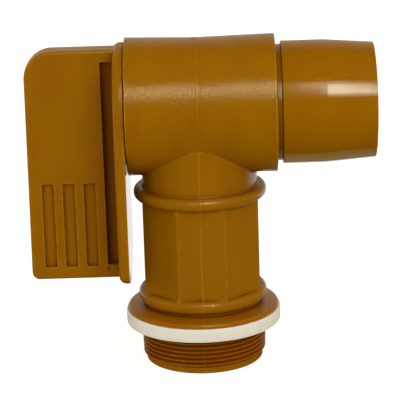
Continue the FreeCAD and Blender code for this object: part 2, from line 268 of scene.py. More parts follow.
def inset(outline: Sequence[Pair], depth: float, keep: Keep | None = None) -> list[Pair]:
    """Move a counter-clockwise outline inward.

    Args:
        outline: The closed outline.
        depth: How far in; less than 0 moves it out.
        keep: Says which points stay where they are.

    Returns:
        The moved outline.
    """
    moved = []
    for i, (a, b) in enumerate(outline):
        if keep and keep(a, b):
            moved.append((a, b))
            continue
        here = Vector((a, b))
        before = (here - Vector(outline[i - 1])).normalized()
        after = (Vector(outline[(i + 1) % len(outline)]) - here).normalized()
        first, second = Vector((-before.y, before.x)), Vector((-after.y, after.x))
        spot = here + (first + second) * (depth / max(1 + first.dot(second), 0.2))
        moved.append((spot.x, spot.y))
    return moved


def slab(name: str, outline: Sequence[Pair], levels: Sequence[Pair], place: Place,
         keep: Keep | None = None) -> Piece:
    """Stack copies of an outline into a solid with rounded edges.

    Args:
        name: Name of the piece.
        outline: Counter-clockwise closed outline.
        levels: Steps (inset, depth) from one end to the other.
        place: Turns (a, b, depth) into a position.
        keep: Says which points no level moves.

    Returns:
        The new object.
    """
    count = len(outline)
    points = [place(a, b, depth) for shrink, depth in levels for a, b in inset(outline, shrink, keep)]
    faces: list[list[int]] = [list(range(count)), list(range(len(points) - count, len(points)))]
    for base in range(0, len(points) - count, count):
        for i in range(count):
            k = (i + 1) % count
            faces.append([base + i, base + k, base + count + k, base + count + i])
    return mesh_object(name, points, faces)


def arc_slab(name: str, radii: Pair, start: float, sweep: float, parts: int, ends: Pair) -> Piece:
    """Make a block between two arcs about the barrel's axis.

    Args:
        name: Name of the piece.
        radii: The outer and the inner radius.
        start: First angle of the arcs, in degrees.
        sweep: Angle that they run through, in degrees.
        parts: Steps of an arc.
        ends: Where the block starts and ends along the barrel.

    Returns:
        The new object.
    """
    angles = [math.radians(start + sweep * k / parts) for k in range(parts + 1)]
    outer, inner = ([polar(radius, angle) for angle in angles] for radius in radii)
    return slab(name, outer + inner[::-1], [(0.0, end) for end in ends], end_on)


def round_over(radius: float, start: float, towards: float, parts: int = 5) -> list[Pair]:
    """Levels of a rounded edge, from the cap to the full outline.

    Args:
        radius: Rounding radius.
        start: Depth of the cap.
        towards: 1 where the solid lies at greater depths than the cap, -1 otherwise.
        parts: Steps of the arc.

    Returns:
        The levels (inset, depth), the cap's first.
    """
    turns = [math.pi / 2 * k / parts for k in range(parts, -1, -1)]
    return [(radius * (1 - math.cos(t)), start + towards * radius * (1 - math.sin(t))) for t in turns]


def combine(piece: Piece, tools: Sequence[Piece], how: Join) -> Piece:
    """Add solids to a piece or cut them from it.

    Args:
        piece: The solid that is changed.
        tools: The other solids, which are used up.
        how: Whether they are added or cut.

    Returns:
        The changed piece.
    """
    for tool in tools:
        change = piece.modifiers.new("solid", "BOOLEAN")
        change.operation, change.object, change.solver = how.value, tool, "EXACT"
        result = piece.evaluated_get(bpy.context.evaluated_depsgraph_get())
        mesh = bpy.data.meshes.new_from_object(result)
        piece.modifiers.clear()
        piece.data = mesh
        bpy.data.objects.remove(tool)
    return piece


def soften(piece: Piece, sharp: float = 32.0) -> Piece:
    """Weld a piece, shade it smooth and keep its real edges crisp.

    Args:
        piece: The piece.
        sharp: Edges that turn by more than this, in degrees, stay crisp.

    Returns:
        The piece.
    """
    work = bmesh.new()
    work.from_mesh(piece.data)
    bmesh.ops.remove_doubles(work, verts=work.verts, dist=2e-6)
    bmesh.ops.dissolve_degenerate(work, edges=work.edges, dist=1e-6)
    work.to_mesh(piece.data)
    work.free()
    piece.data.shade_smooth()
    piece.data.set_sharp_from_angle(angle=math.radians(sharp))
    piece.modifiers.new("normals", "WEIGHTED_NORMAL").keep_sharp = True
    return piece


class Sheet:
    """A node tree with short calls that place and wire its nodes."""

    def __init__(self, tree: Tree) -> None:
        """Keep the tree that the calls fill."""
        self.tree = tree

    def node(self, kind: str, wires: Wires | None = None, **settings: object) -> bpy.types.Node:
        """Place one node.

        Args:
            kind: Blender's name of the node type.
            wires: What each input takes: a value, or an output socket to link.
            **settings: Properties of the node itself.

        Returns:
            The node.
        """
        made = self.tree.nodes.new(kind)
        for key, value in settings.items():
            setattr(made, key, value)
        for key, value in (wires or {}).items():
            if isinstance(value, Socket):
                self.tree.links.new(value, made.inputs[key])
            else:
                made.inputs[key].default_value = value
        return made

    def use(self, group: Tree, wires: Wires | None = None) -> Outputs:
        """Place a shared effect and return its outputs."""
        return self.node("ShaderNodeGroup", wires, node_tree=group).outputs

    def reckon(self, operation: str, first: Value, second: Value = 0.0) -> Socket:
        """Result of a Math node on two values."""
        return self.node("ShaderNodeMath", {0: first, 1: second}, operation=operation).outputs[0]

    def plus(self, first: Value, second: Value) -> Socket:
        """Sum of two values."""
        return self.reckon("ADD", first, second)

    def less(self, first: Value, second: Value) -> Socket:
        """Difference of two values."""
        return self.reckon("SUBTRACT", first, second)

    def times(self, first: Value, second: Value) -> Socket:
        """Product of two values."""
        return self.reckon("MULTIPLY", first, second)

    def larger(self, first: Value, second: Value) -> Socket:
        """The larger of two values."""
        return self.reckon("MAXIMUM", first, second)

    def vector(self, operation: str, wires: Wires) -> Outputs:
        """Outputs of a Vector Math node."""
        return self.node("ShaderNodeVectorMath", wires, operation=operation).outputs

    def mix(self, factor: Value, first: Value, second: Value) -> Socket:
        """Colour between two colours, at a factor."""
        return self.node("ShaderNodeMix", {0: factor, 6: first, 7: second}, data_type="RGBA").outputs[2]

    def tint(self, colour: Value, mask: Value, amount: float, layer: Corner) -> Socket:
        """Colour under a layer that shows by a mask times an amount."""
        return self.mix(self.times(mask, amount), colour, (*layer, 1.0))

    def span(self, value: Value, low: float, high: float, to_low: float = 0.0, to_high: float = 1.0,
             smooth: bool = False) -> Socket:
        """A value carried from one range to another, clamped."""
        made = self.node("ShaderNodeMapRange", {"Value": value, "From Min": low, "From Max": high,
                                                "To Min": to_low, "To Max": to_high},
                         interpolation_type="SMOOTHSTEP" if smooth else "LINEAR")
        return made.outputs["Result"]

    def place(self) -> Socket:
        """Position on the piece, in metres."""
        return self.node("ShaderNodeTexCoord").outputs["Object"]

    def apart(self, where: Value) -> Outputs:
        """The three coordinates of a position."""
        return self.node("ShaderNodeSeparateXYZ", {0: where}).outputs

    def noise(self, where: Value, scale: Value, detail: float = 2.0, rough: float = 0.5) -> Socket:
        """Value of a noise texture, from 0 to 1."""
        return self.node("ShaderNodeTexNoise", {"Vector": where, "Scale": scale, "Detail": detail,
                                                "Roughness": rough}).outputs["Fac"]

    def surface(self, height: Value, wires: Wires) -> None:
        """End a material with its shader.

        Args:
            height: Relief of the surface, in metres.
            wires: What the shader's inputs take.
        """
        bump = self.node("ShaderNodeBump", {"Height": height, "Strength": 1.0, "Distance": 1.0})
        shader = self.node("ShaderNodeBsdfPrincipled", {**wires, "Normal": bump.outputs[0]})
        self.node("ShaderNodeOutputMaterial", {"Surface": shader.outputs[0]})


def open_sheet(owner: Material | bpy.types.World) -> Sheet:
    """Empty the node tree of a material or a world.

    Args:
        owner: The material or the world.

    Returns:
        The empty tree as a sheet.
    """
    owner.use_nodes = True
    owner.node_tree.nodes.clear()
    return Sheet(owner.node_tree)


class Effect(Sheet):
    """A node group that several materials share."""

    def __init__(self, name: str, inputs: dict[str, float]) -> None:
        """Start the group.

        Args:
            name: Name of the group.
            inputs: Its inputs with their defaults.
        """
        super().__init__(bpy.data.node_groups.new(name, "ShaderNodeTree"))
        for key, value in inputs.items():
            self.socket(key, "INPUT").default_value = value
        self.enter = self.node("NodeGroupInput").outputs

    def socket(self, name: str, side: str) -> bpy.types.NodeTreeInterfaceSocket:
        """Open a number socket on one side of the group."""
        return self.tree.interface.new_socket(name, in_out=side, socket_type="NodeSocketFloat")

    def give(self, **values: Socket) -> Tree:
        """Put values out of the group.

        Args:
            **values: The values by the names of their outputs.

        Returns:
            The finished group.
        """
        for key in values:
            self.socket(key, "OUTPUT")
        self.node("NodeGroupOutput", values)
        return self.tree


def moulded_skin() -> Tree:
    """Make the effect of a moulded surface: orange peel, mould grain and slow flow marks.

    Returns:
        The group, which puts out a fine height, a slow wave's height, a mottle value and a flow value.
    """
    effect = Effect("moulded_skin", {"Peel Scale": 800.0, "Grain Scale": 2300.0})
    where = effect.place()
    peel = effect.noise(where, effect.enter["Peel Scale"])
    grain = effect.noise(where, effect.enter["Grain Scale"], 3.0)
    stretched = effect.node("ShaderNodeMapping", {"Vector": where, "Scale": (60.0, 60.0, 22.0)})
    flow = effect.noise(stretched.outputs[0], 1.0, 3.0, 0.6)
    return effect.give(Height=effect.plus(effect.times(peel, 0.7), effect.times(grain, 0.3)),
                       Wave=effect.noise(where, 85.0, 1.0), Mottle=effect.span(grain, 0.3, 0.7),
                       Flow=effect.span(flow, 0.3, 0.7))


def mould_seam() -> Tree:
    """Make the effect of the witness line where the mould's halves meet.

    Returns:
        The group, which puts out a thin line's mask, for a painted highlight, and a wider dulled band's
        mask.
    """
    effect = Effect("mould_seam", {"Place": 0.0, "Width": 0.00022})
    where = effect.place()
    waver = effect.times(effect.less(effect.noise(where, 160.0), 0.5), 0.00012)
    away = effect.reckon("ABSOLUTE", effect.plus(effect.enter["Place"], waver))
    near = effect.reckon("DIVIDE", away, effect.enter["Width"])
    broken = effect.span(effect.noise(where, 240.0), 0.3, 0.55, 0.45)
    return effect.give(Line=effect.times(effect.span(near, 1.0, 0.35, smooth=True), broken),
                       Band=effect.span(near, 6.0, 1.0, smooth=True))


def handling_marks() -> Tree:
    """Make the effect of faint scratches and pits from handling.

    Returns:
        The group, which puts out a scratch mask and a pit mask.
    """
    effect = Effect("handling_marks", {"Amount": 0.5})
    where, amount = effect.place(), effect.enter["Amount"]
    warp = effect.node("ShaderNodeTexNoise", {"Vector": where, "Scale": 90.0, "Detail": 2.0})
    push = effect.vector("SCALE", {0: warp.outputs["Color"], "Scale": 0.006})[0]
    bent = effect.vector("ADD", {0: where, 1: push})[0]
    lines = []
    for tilt, scale in ((0.5, 170.0), (1.9, 230.0)):
        swung = effect.node("ShaderNodeMapping", {"Vector": bent, "Rotation": (tilt, tilt * 0.6, tilt),
                                                  "Scale": (1.0, 0.06, 0.06)})
        cells = effect.node("ShaderNodeTexVoronoi", {"Vector": swung.outputs[0], "Scale": scale},
                            feature="DISTANCE_TO_EDGE")
        lines.append(effect.span(cells.outputs["Distance"], 0.012, 0.004))
    patches = effect.span(effect.noise(where, 42.0), 0.56, 0.68)
    scratched = effect.times(effect.larger(*lines), patches)
    pits = effect.node("ShaderNodeTexVoronoi", {"Vector": where, "Scale": 210.0}).outputs["Distance"]
    pitted = effect.times(effect.span(pits, 0.1, 0.05), effect.span(effect.noise(where, 70.0), 0.6, 0.66))
    return effect.give(Scratches=effect.times(scratched, amount), Pits=effect.times(pitted, amount))


def worn_and_highlit_edge() -> Tree:
    """Make the effect that finds convex edges, which a lighter colour paints for rubbing and edge
    highlights.

    Returns:
        The group, which puts out the edge's mask.
    """
    effect = Effect("worn_and_highlit_edge", {"Reach": 0.0013})
    softened = effect.node("ShaderNodeBevel", {"Radius": effect.enter["Reach"]}, samples=6).outputs[0]
    plain = effect.node("ShaderNodeNewGeometry").outputs["Normal"]
    bend = effect.vector("DOT_PRODUCT", {0: softened, 1: plain})["Value"]
    broken = effect.span(effect.noise(effect.place(), 320.0, 3.0), 0.35, 0.6)
    return effect.give(Edge=effect.times(effect.span(bend, 0.999, 0.95), broken))


def painted_recess_shade() -> Tree:
    """Make the effect that finds recesses and creases, where a darker, redder painted shade goes on the
    colour.

    Returns:
        The group, which puts out the masks of the painted shade in recesses and in creases.
    """
    effect = Effect("painted_recess_shade", {"Reach": 0.02, "Crease Reach": 0.0019})
    wide, near = (effect.node("ShaderNodeAmbientOcclusion", {"Distance": effect.enter[key]}, samples=6,
                              only_local=True).outputs["AO"] for key in ("Reach", "Crease Reach"))
    return effect.give(Recess=effect.span(wide, 0.9, 0.25), Crease=effect.span(near, 0.85, 0.4))


def small_spot() -> Tree:
    """Make the effect of one small mark at a point of the piece.

    Returns:
        The group, which puts out the mark's mask.
    """
    effect = Effect("small_spot", {"X": 0.0, "Y": 0.0, "Z": 0.0, "Reach": 0.0007, "Tall": 1.0})
    where = effect.place()
    middle = effect.node("ShaderNodeCombineXYZ", {key: effect.enter[key] for key in "XYZ"})
    away = effect.apart(effect.vector("SUBTRACT", {0: where, 1: middle.outputs[0]})[0])
    squeezed = effect.node("ShaderNodeCombineXYZ", {
        "X": away["X"], "Y": away["Y"], "Z": effect.reckon("DIVIDE", away["Z"], effect.enter["Tall"])})
    length = effect.vector("LENGTH", {0: squeezed.outputs[0]})["Value"]
    ragged = effect.times(effect.less(effect.noise(where, 1500.0), 0.5), 0.0005)
    near = effect.reckon("DIVIDE", effect.plus(length, ragged), effect.enter["Reach"])
    return effect.give(Spot=effect.span(near, 1.0, 0.45, smooth=True))


class Effects:
    """The shared node groups, each built once."""

    def __init__(self) -> None:
        """Build every group."""
        self.skin = moulded_skin()
        self.seam = mould_seam()
        self.marks = handling_marks()
        self.edge = worn_and_highlit_edge()
        self.recess = painted_recess_shade()
        self.spot = small_spot()


@dataclass(frozen=True)
class Mark:
    """One small mark: its place and reach in millimetres, its height for its width, and how it looks."""

    at: Corner
    reach: float
    tall: float
    colour: Corner
    strength: float


@dataclass(frozen=True)
class Foot:
    """How the low part of a moulding differs: a redder painted shade in the thread and a duller skin
    below the barrel.

    The redder colour, painted for shade and for light bounced off the orange plastic, grows between two
    heights and ends at a third, and the dulled skin grows between two. The low part also keeps less of
    the lighter edge colour and less painted shade in creases. Heights are in millimetres.
    """

    tone: Corner = (0.275, 0.048, 0.0002)
    tone_amount: float = 0.55
    tone_from: float = 13.0
    tone_full: float = 2.0
    tone_end: float = -14.5
    dull_amount: float = 0.1
    dull_from: float = 82.0
    dull_full: float = 68.0
    wear_and_highlight_lost: float = 0.6
    crease_shade_lost: float = 0.3

    def low(self, sheet: Sheet, height: Value) -> Socket:
        """Mask of the part with the redder painted shade.

        Args:
            sheet: The material's sheet.
            height: Height on the piece, in metres.

        Returns:
            The mask.
        """
        grown = sheet.span(height, self.tone_from * MM, self.tone_full * MM)
        return sheet.times(grown, sheet.span(height, (self.tone_end - 1.0) * MM, self.tone_end * MM))

    def dull(self, sheet: Sheet, height: Value) -> Socket:
        """Roughness that the low part has on top of the rest."""
        return sheet.span(height, self.dull_from * MM, self.dull_full * MM, 0.0, self.dull_amount)


@dataclass(frozen=True)
class Plastic:
    """Moulded polyethylene: its colours, its skin, and how strongly each shared effect shows on it."""

    name: str
    base: Corner = (0.262, 0.107, 0.0003)
    deep: Corner = (0.236, 0.087, 0.0002)
    pale: Corner = (0.33, 0.143, 0.0015)
    # Colours of the painted shade in recesses and creases.
    shade: Corner = (0.175, 0.034, 0.0002)
    crease_shade: Corner = (0.08, 0.014, 0.0002)
    # Colour of convex edges, for rubbing from handling and a painted edge highlight.
    worn_and_highlit: Corner = (0.48, 0.235, 0.01)
    pit: Corner = (0.07, 0.03, 0.004)
    sheen: Corner = (1.0, 0.94, 0.7)
    gloss: float = 0.17
    drift: float = 0.03
    shine: float = 0.3
    peel: float = 0.0002
    wave: float = 0.00004
    scratch_depth: float = 0.00002
    mottled: float = 0.22
    # Amount of that lighter edge colour.
    wear_and_edge_highlight: float = 0.6
    scratched: float = 0.35
    scratch_dull: float = 0.15
    pitted: float = 0.6
    # Amounts of the painted shade in recesses and creases.
    shaded: float = 0.75
    crease_shaded: float = 0.85
    seam: Seam = Seam.NONE
    # Amount of the painted highlight along the seam's line.
    seam_line_highlight: float = 0.45
    seam_dull: float = 0.05
    foot: Foot | None = None
    marks: tuple[Mark, ...] = ()

    def build(self, effects: Effects) -> Material:
        """Build the material.

        Args:
            effects: The shared node groups.

        Returns:
            The material.
        """
        material = bpy.data.materials.new(self.name)
        sheet = open_sheet(material)
        skin, marks = sheet.use(effects.skin), sheet.use(effects.marks)
        # Masks for the painted shade in recesses and creases.
        recess = sheet.use(effects.recess)
        where = sheet.apart(sheet.place())
        colour = sheet.mix(skin["Flow"], (*self.deep, 1.0), (*self.base, 1.0))
        colour = sheet.tint(colour, skin["Mottle"], self.mottled, self.pale)
        rough = sheet.span(skin["Flow"], 0.0, 1.0, self.gloss + self.drift, self.gloss - self.drift)
        wear_and_highlight_kept, crease_shade_kept = 1.0, 1.0
        if self.foot is not None:
            low = self.foot.low(sheet, where["Z"])
            # Painted shade: the low part turns redder.
            colour = sheet.tint(colour, low, self.foot.tone_amount, self.foot.tone)
            rough = sheet.plus(rough, self.foot.dull(sheet, where["Z"]))
            wear_and_highlight_kept = sheet.less(1.0, sheet.times(low, self.foot.wear_and_highlight_lost))
            crease_shade_kept = sheet.less(1.0, sheet.times(low, self.foot.crease_shade_lost))
        # Lighter colour on convex edges: rubbing from handling and a painted edge highlight, less on the
        # low part.
        edge = sheet.times(sheet.use(effects.edge)["Edge"], wear_and_highlight_kept)
        # Painted shade in creases, weaker on the low part.
        crease_shade = sheet.times(recess["Crease"], crease_shade_kept)
        for mask, amount, layer in (
                (edge, self.wear_and_edge_highlight, self.worn_and_highlit), (marks["Scratches"], self.scratched, self.pale),
                (marks["Pits"], self.pitted, self.pit), (recess["Recess"], self.shaded, self.shade),
                (crease_shade, self.crease_shaded, self.crease_shade)):
            colour = sheet.tint(colour, mask, amount, layer)
        rough = sheet.plus(rough, sheet.times(marks["Scratches"], self.scratch_dull))
        height = sheet.plus(sheet.times(skin["Height"], self.peel), sheet.times(skin["Wave"], self.wave))
        height = sheet.less(height, sheet.times(marks["Scratches"], self.scratch_depth))
        if self.seam is not Seam.NONE:
            seam = sheet.use(effects.seam, {"Place": where[self.seam.value]})
            # Painted highlight: the seam's line is made paler, as light along its ridge.
            colour = sheet.tint(colour, sheet.times(seam["Line"], wear_and_highlight_kept), self.seam_line_highlight, self.pale)
            rough = sheet.plus(rough, sheet.times(seam["Band"], self.seam_dull))
        for mark in self.marks:
            at = {key: value * MM for key, value in zip("XYZ", mark.at)}
            spot = sheet.use(effects.spot, {**at, "Reach": mark.reach * MM, "Tall": mark.tall})
            colour = sheet.tint(colour, spot["Spot"], mark.strength, mark.colour)
        sheet.surface(height, {
            "Base Color": colour, "Roughness": rough, "IOR": 1.52, "Specular IOR Level": self.shine,
            "Specular Tint": (*self.sheen, 1.0), "Subsurface Weight": 0.06,
            "Subsurface Radius": (1.0, 0.35, 0.08), "Subsurface Scale": 0.0015})
        return material


@dataclass(frozen=True)
class Rubber:
    """Gasket and seal rubber: its colours, its roughness, and how strongly grime shows on it."""

    name: str
    base: Corner
    grime: Corner
    rough: float
    smudged: float = 0.25
    pitted: float = 0.5
    mottled: float = 0.1
    grain: float = 0.00006

    def build(self, effects: Effects) -> Material:
        """Build the material.

        Args:
            effects: The shared node groups.

        Returns:
            The material.
        """
        material = bpy.data.materials.new(self.name)
        sheet = open_sheet(material)
        skin = sheet.use(effects.skin, {"Peel Scale": 900.0, "Grain Scale": 3200.0})
        marks = sheet.use(effects.marks, {"Amount": 0.7})
        smudge = sheet.span(sheet.noise(sheet.place(), 130.0, 4.0, 0.65), 0.52, 0.75)
        dirt = sheet.plus(sheet.times(smudge, self.smudged), sheet.times(marks["Pits"], self.pitted))
        colour = sheet.tint((*self.base, 1.0), skin["Mottle"], self.mottled, self.grime)
        colour = sheet.mix(dirt, colour, (*self.grime, 1.0))
        rough = sheet.span(skin["Flow"], 0.0, 1.0, self.rough + 0.06, self.rough - 0.04)
        height = sheet.times(skin["Height"], self.grain)
        sheet.surface(height, {"Base Color": colour, "Roughness": rough, "IOR": 1.5})
        return material


BODY_PLASTIC = Plastic(
    "body_plastic", gloss=0.13, peel=0.00017, wave=0.0002, wear_and_edge_highlight=0.7, seam=Seam.ACROSS_BARREL, foot=Foot(),
    marks=(Mark((-32.4, -30.2, 119.0), 0.5, 2.2, (0.55, 0.33, 0.07), 0.5),
           Mark((-33.9, -29.7, 92.9), 0.45, 1.3, (0.6, 0.4, 0.12), 0.8)))
LEVER_PLASTIC = Plastic(
    "lever_plastic", gloss=0.2, peel=0.00008, seam=Seam.ALONG_BLADE,
    marks=(Mark((-45.07, -6.0, 28.1), 0.5, 3.6, (0.05, 0.02, 0.004), 0.9),))
LEVER_INNER_FACE = Plastic("lever_inner_face", gloss=0.04, peel=0.0, wave=0.0, shine=1.0)
NOZZLE_PLASTIC = Plastic(
    "nozzle_plastic", base=(0.26, 0.103, 0.0003), gloss=0.1, peel=0.00002, wear_and_edge_highlight=0.3,
    marks=(Mark((68.3, -22.16, 123.95), 0.65, 0.5, (0.62, 0.4, 0.16), 0.6),
           Mark((58.0, -24.0, 122.6), 5.0, 0.1, (0.4, 0.2, 0.03), 0.35),
           Mark((51.0, -25.8, 119.9), 3.6, 0.12, (0.4, 0.2, 0.03), 0.35),
           Mark((61.4, -21.1, 86.6), 0.35, 1.0, (0.55, 0.35, 0.12), 0.6)))
PLUG_PLASTIC = Plastic("plug_plastic", gloss=0.3, peel=0.00003, wear_and_edge_highlight=0.2)
WASHER_PLASTIC = Plastic("washer_plastic", base=(0.25, 0.1, 0.0006), deep=(0.22, 0.083, 0.0005),
                         pale=(0.3, 0.13, 0.002), gloss=0.13, wear_and_edge_highlight=0.1)
GASKET_RUBBER = Rubber("gasket_rubber", base=(0.7, 0.69, 0.645), grime=(0.46, 0.43, 0.35), rough=0.5)
SEAL_RUBBER = Rubber("seal_rubber", base=(0.018, 0.018, 0.02), grime=(0.06, 0.06, 0.055), rough=0.42)


def polish(piece: Piece, material: Material, place: float) -> None:
    """Give the flat faces of a piece that look along +X at one place a second material.

    Args:
        piece: The piece.
        material: The second material.
        place: Where the faces lie, in millimetres.
    """
    piece.data.materials.append(material)
    for face in piece.data.polygons:
        if face.normal.x > 0.999 and abs(face.center.x - place * MM) < 2e-5:
            face.material_index = len(piece.data.materials) - 1


def dress(piece: Piece, material: Material) -> None:
    """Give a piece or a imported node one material.

    Args:
        piece: The piece or the node.
        material: Its material.
    """
    if not piece.data.materials:
        piece.data.materials.append(material)
    for i in range(len(piece.data.materials)):
        piece.data.materials[i] = material


def settle(piece: Piece, body: str, slot: str, *nodes: str) -> None:
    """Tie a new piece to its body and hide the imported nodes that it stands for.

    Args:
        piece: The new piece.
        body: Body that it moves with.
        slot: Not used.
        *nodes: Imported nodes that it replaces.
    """
    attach(piece, body)
    if nodes:
        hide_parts(*nodes)
    LOG.info("%s: %d faces", piece.name, len(piece.data.polygons))


@dataclass
class BodyMoulding:
    """The T moulding: pilot, pipe thread, flange, wrench octagon, rings, neck and cross barrel."""

    thread_r: float = 30.15
    pitch: float = 25.4 / 11.5
    taper: float = 1 / 32
    thread_depth: float = 1.6
    thread_turn: float = -0.6
    root_half: float = 0.1
    crest_half: float = 0.18
    flank_bow: float = 0.4
    run_out: float = 0.4
    rows_a_pitch: int = 16
    columns: int = 144
    pilot_r: float = 28.25
    core_r: float = 27.4
    flange_r: float = 36.5
    flats: float = 55.0
    flat_round: float = 0.9
    lower_ring_r: float = 30.97
    upper_ring_r: float = 31.77
    ring_round: float = 2.7
    neck_r: float = 27.5
    neck_bore_r: float = 23.5
    roof: float = 71.5
    port_r: float = 16.1
    seal_r: float = 19.9
    seal_foot: float = 74.0
    barrel_mid_r: float = 31.95
    barrel_end_r: float = 32.79
    barrel_round: float = 0.45
    bore_r: float = 27.65
    lip_left: float = 32.2
    lip_bore_r: float = 24.45
    stop_radii: Pair = (30.25, 26.5)
    stop_start: float = 38.8
    stop_sweep: float = 102.4
    stop_depth: float = 1.9
    fillet: float = 1.1
    stub_r: float = 1.1
    stub_proud: float = 0.4
    stub_x: float = -0.9
    seam_proud: float = 0.13
    ridge_top: float = 0.15
    ridge_foot: float = 0.45

    def seam(self, radius: float, along: float, angle: float) -> float:
        """Growth of the radius at the seam on the front and back."""
        off = abs(math.degrees(math.asin(min(1.0, abs(math.cos(angle))))))
        return self.seam_proud if off < 0.3 else 0.0

    def foot(self) -> Piece:
        """Make the pilot, thread core, flange and lower ring as one turned solid.

        Returns:
            The solid.
        """
        recess_r = self.lower_ring_r - self.ring_round
        corners = [
            (0, AT.foot, 0), (self.pilot_r, AT.foot, 0.8), (self.pilot_r, AT.thread_foot + 0.2, 0),
            (self.core_r, AT.thread_foot + 0.5, 0), (self.core_r, AT.flange_foot, 0),
            (self.flange_r, AT.flange_foot, 0.25), (self.flange_r, AT.flange_rim, 1.6),
            (recess_r, AT.flange_top, 0.4), (recess_r, AT.lower_ring_foot, 0.2),
            (self.lower_ring_r, AT.lower_ring_foot, self.ring_round),
            (self.lower_ring_r, AT.lower_ring_top, self.ring_round), (0, AT.lower_ring_top, 0)]
        return turned("body_moulding", corners, Turn.NECK, angles=seam_turn(180),
                      swell=lambda r, z, t: self.seam(r, z, t) if z > AT.flange_foot else 0.0)

    def neck(self) -> Piece:
        """Make the upper ring and the neck as one turned solid.

        Returns:
            The solid.
        """
        corners = [
            (0, AT.upper_ring_foot, 0), (self.upper_ring_r, AT.upper_ring_foot, self.ring_round),
            (self.upper_ring_r, AT.upper_ring_top, self.ring_round),
            (self.neck_r, AT.upper_ring_top, 0.5), (self.neck_r, AT.axis, 0), (0, AT.axis, 0)]
        return turned("neck", corners, Turn.NECK, angles=seam_turn(180), swell=self.seam)

    def octagon(self) -> Piece:
        """Make the wrench section, with softly rounded upright edges and a seam down its front and back.

        Returns:
            The solid.
        """
        half, eighth, buried, near = self.flats / 2, math.pi / 4, 3.0, 1.2
        corner_r = half / math.cos(eighth / 2)
        corners = [(*polar(corner_r, (i + 0.5) * eighth), self.flat_round) for i in range(8)]
        ridge = ((0.42, 0.0), (0.14, self.seam_proud), (-0.14, self.seam_proud), (-0.42, 0.0))
        outline = []
        for a, b in rounded(corners, closed=True):
            outline.append((a, b))
            on_face = abs(abs(b) - half) < 1e-6
            if on_face and abs(abs(a) - corners[1][0]) < near and a * b > 0:
                side = math.copysign(1.0, b)
                outline += [(side * across, b + side * rise) for across, rise in ridge]
        levels = [(0.0, AT.lower_ring_top - buried), (0.0, AT.upper_ring_foot + buried)]
        return slab("octagon", outline, levels, lying)

    def thread(self) -> Piece:
        """Make the right-hand tapered pipe thread as one closed sleeve whose rows follow the helix.

        Returns:
            The solid.
        """
        rows_a_pitch, columns = self.rows_a_pitch, self.columns
        below, buried = 0.5, 2.0
        rise = self.pitch / rows_a_pitch
        start = AT.thread_foot - self.pitch - below
        rows = math.ceil((AT.flange_foot + buried - start) / rise) + 1
        points: list[Corner] = []
        for i in range(rows + 1):
            for j in range(columns):
                points.append(self.thread_point(start + i * rise + self.pitch * j / columns, j / columns))
        faces = []
        last = rows - rows_a_pitch
        for i in range(last):
            for j in range(columns - 1):
                a = i * columns + j
                faces.append([a, a + 1, a + columns + 1, a + columns])
            a, b = i * columns + columns - 1, (i + rows_a_pitch) * columns
            faces.append([a, b, b + columns, a + columns])
        for base, middle_z in ((0, start), (last, start + last * rise + self.pitch)):
            middle = len(points)
            points.append((0.0, 0.0, middle_z))
            edge = [base * columns + j for j in range(columns)]
            edge += [(base + k) * columns for k in range(rows_a_pitch, 0, -1)]
            faces += [[edge[k], edge[(k + 1) % len(edge)], middle] for k in range(len(edge))]
        used = sorted({v for face in faces for v in face})
        number = {v: n for n, v in enumerate(used)}
        return mesh_object("thread", [points[v] for v in used], [[number[v] for v in f] for f in faces])

    def thread_point(self, z: float, part: float) -> Corner:
        """Point of the thread's surface.

        Args:
            z: Height of the point.
            part: Angle as a share of a full turn.

        Returns:
            The position in millimetres.
        """
        phase = (z - self.thread_turn) / self.pitch - part
        off = abs(phase - math.floor(phase) - 0.5) * self.pitch
        flank = share((off - self.root_half) / (self.pitch / 2 - self.root_half - self.crest_half))
        bowed = (1 - self.flank_bow) * flank + self.flank_bow * flank * flank * (3 - 2 * flank)
        radius = self.thread_r + z * self.taper - self.thread_depth * (1 - bowed)
        inner = self.core_r - 1.0
        radius = inner + (radius - inner) * share((z - AT.thread_foot) / self.run_out)
        return *polar(radius, 2 * math.pi * part), z

    def barrel(self) -> Piece:
        """Make the cross barrel, drafted from both ends toward the seam, with the seam's ridge.

        Returns:
            The solid.
        """
        end, mid = self.barrel_end_r, self.barrel_mid_r
        crest = mid + self.seam_proud
        corners = [
            (0, AT.barrel_left, 0), (end, AT.barrel_left, self.barrel_round), (mid, -self.ridge_foot, 0),
            (crest, -self.ridge_top, 0), (crest, self.ridge_top, 0), (mid, self.ridge_foot, 0),
            (end, AT.barrel_right, self.barrel_round), (0, AT.barrel_right, 0)]
        return turned("barrel", corners, Turn.BARREL)

    def junction(self) -> Piece:
        """Make the small fillet that runs round the neck where it meets the barrel.

        Returns:
            The solid.
        """
        columns, parts, into_neck, into_barrel = 192, 6, 2.0, 1.5
        points: list[Corner] = []
        for angle in even_turn(columns):
            x, y = polar(self.neck_r + self.fillet, angle)
            end = AT.barrel_right if x > 0 else -AT.barrel_left
            outer = self.barrel_mid_r + (self.barrel_end_r - self.barrel_mid_r) * abs(x) / end
            inside = outer / (outer + self.fillet)
            z = -math.sqrt((outer + self.fillet) ** 2 - y * y)
            ball = Vector((x, y, z))
            on_neck = Vector((*polar(self.neck_r, angle), z))
            on_barrel = Vector((x, y * inside, z * inside))
            first, last = on_neck - ball, on_barrel - ball
            section = [ball + first.slerp(last, k / parts) for k in range(parts + 1)]
            buried = polar(self.neck_r - into_neck, angle)
            section += [Vector((*buried, on_barrel.z + into_barrel)), Vector((*buried, z))]
            points += [(p.x, p.y, AT.axis + p.z) for p in section]
        size = parts + 3
        faces = []
        for j in range(columns):
            a, b = j * size, (j + 1) % columns * size
            faces += [[a + k, b + k, b + (k + 1) % size, a + (k + 1) % size] for k in range(size)]
        return mesh_object("junction", points, faces)

